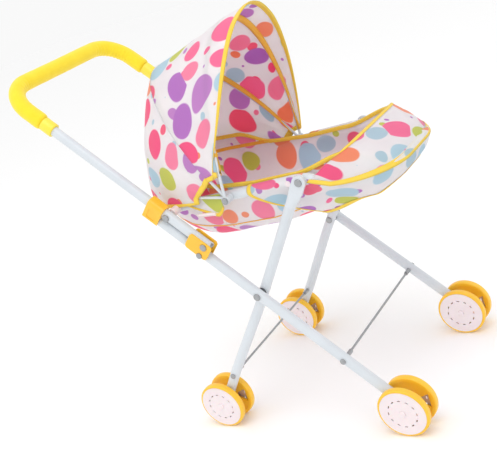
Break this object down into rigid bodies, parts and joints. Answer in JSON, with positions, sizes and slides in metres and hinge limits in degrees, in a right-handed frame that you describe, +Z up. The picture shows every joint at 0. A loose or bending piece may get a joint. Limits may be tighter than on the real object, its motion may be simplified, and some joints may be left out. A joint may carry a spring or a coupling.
{
  "type": "doll stroller",
  "caption": "Folding toy stroller for dolls: crossed tube legs on twin wheels, fabric seat on a rail, folding hood on wire bows, and a U-shaped handle with a foam grip.",
  "frame": {"origin": "on the floor, under the middle of the stroller's bounding box", "axes": "+X forward, away from the handle; +Y to the stroller's left; +Z up"},
  "size_m": [0.538, 0.2862, 0.5595],
  "materials": {
    "powder_coated_steel": "satin pale blue-white powder coat",
    "zinc_steel": "zinc plated",
    "white_plastic": "moulded, matte",
    "amber_plastic": "moulded, semi-gloss",
    "orange_plastic": "moulded, semi-gloss",
    "yellow_foam": "closed-cell foam, matte",
    "printed_polyester": "thin printed woven polyester",
    "yellow_binding": "woven binding tape"
  },
  "bodies": {
    "front_frame": {"front_leg_left": "powder_coated_steel", "front_leg_right": "powder_coated_steel", "front_leg_ends": "white_plastic", "lower_bracket_left": "amber_plastic", "lower_bracket_right": "amber_plastic", "bracket_screws": "zinc_steel", "front_cross_rod": "powder_coated_steel", "front_rod_screws": "zinc_steel", "leg_pivot_rivets": "zinc_steel", "leg_pivot_washers": "zinc_steel", "handle_pivot_rivets": "zinc_steel"},
    "handle": {"handle_tube": "powder_coated_steel", "handle_grip": "yellow_foam", "grip_collars": "amber_plastic", "upper_clip_left": "amber_plastic", "upper_clip_right": "amber_plastic", "seat_pivot_rivets": "zinc_steel", "seat_pivot_spacers": "white_plastic"},
    "rear_frame": {"rear_leg_left": "powder_coated_steel", "rear_leg_right": "powder_coated_steel", "rear_leg_ends": "white_plastic", "rear_cross_rod": "powder_coated_steel", "rear_rod_screws": "zinc_steel", "seat_top_rivets": "zinc_steel"},
    "seat_frame": {"seat_rail": "powder_coated_steel", "hood_rear_bow": "powder_coated_steel", "hood_rivets": "zinc_steel", "seat_body": "printed_polyester", "foot_apron": "printed_polyester", "rail_snaps": "white_plastic", "side_tabs": "yellow_binding", "tab_toggles": "white_plastic"},
    "middle_bow": {"hood_middle_bow": "powder_coated_steel", "hood_back_panel": "printed_polyester"},
    "front_bow": {"hood_front_bow": "powder_coated_steel", "hood_front_panel": "printed_polyester"},
    "front_left_wheel": {"front_left_axle": "zinc_steel", "front_left_outer_wheel": "orange_plastic", "front_left_inner_wheel": "orange_plastic", "front_left_wheel_covers": "white_plastic", "front_left_axle_caps": "white_plastic"},
    "front_right_wheel": {"front_right_axle": "zinc_steel", "front_right_outer_wheel": "orange_plastic", "front_right_inner_wheel": "orange_plastic", "front_right_wheel_covers": "white_plastic", "front_right_axle_caps": "white_plastic"},
    "rear_left_wheel": {"rear_left_axle": "zinc_steel", "rear_left_outer_wheel": "orange_plastic", "rear_left_inner_wheel": "orange_plastic", "rear_left_wheel_covers": "white_plastic", "rear_left_axle_caps": "white_plastic"},
    "rear_right_wheel": {"rear_right_axle": "zinc_steel", "rear_right_outer_wheel": "orange_plastic", "rear_right_inner_wheel": "orange_plastic", "rear_right_wheel_covers": "white_plastic", "rear_right_axle_caps": "white_plastic"}
  },
  "joints": [
    {"name": "frame_fold", "type": "hinge", "parent": "front_frame", "child": "handle", "pos_m": [-0.00762, 0, 0.28493], "axis": [0, 1, 0], "range_deg": [0, 160], "deforming": ["seat_body"]},
    {"name": "rear_leg_fold", "type": "hinge", "parent": "front_frame", "child": "rear_frame", "pos_m": [0.04687, 0, 0.20548], "axis": [0, 1, 0], "range_deg": [0, 83.8]},
    {"name": "seat_fold", "type": "hinge", "parent": "handle", "child": "seat_frame", "pos_m": [-0.05277, 0, 0.33169], "axis": [0, -1, 0], "range_deg": [0, 112.8]},
    {"name": "hood_fold", "type": "hinge", "parent": "seat_frame", "child": "middle_bow", "pos_m": [0.0385, 0, 0.33909], "axis": [0, -1, 0], "range_deg": [0, 46], "deforming": ["hood_back_panel", "hood_front_panel"]},
    {"name": "front_bow_fold", "type": "hinge", "parent": "middle_bow", "child": "front_bow", "pos_m": [0.0385, 0, 0.33909], "axis": [0, -1, 0], "range_deg": [0, 36.8]},
    {"name": "front_left_spin", "type": "hinge", "parent": "front_frame", "child": "front_left_wheel", "pos_m": [0.2115, 0.122, 0.035], "axis": [0, 1, 0], "continuous": true},
    {"name": "front_right_spin", "type": "hinge", "parent": "front_frame", "child": "front_right_wheel", "pos_m": [0.2115, -0.122, 0.035], "axis": [0, 1, 0], "continuous": true},
    {"name": "rear_left_spin", "type": "hinge", "parent": "rear_frame", "child": "rear_left_wheel", "pos_m": [-0.0745, 0.122, 0.035], "axis": [0, 1, 0], "continuous": true},
    {"name": "rear_right_spin", "type": "hinge", "parent": "rear_frame", "child": "rear_right_wheel", "pos_m": [-0.0745, -0.122, 0.035], "axis": [0, 1, 0], "continuous": true}
  ],
  "couplings": [
    {"joint": "rear_leg_fold", "follows": "frame_fold", "ratio": 0.52375},
    {"joint": "seat_fold", "follows": "frame_fold", "ratio": 0.705},
    {"joint": "front_bow_fold", "follows": "hood_fold", "ratio": 0.8}
  ]
}
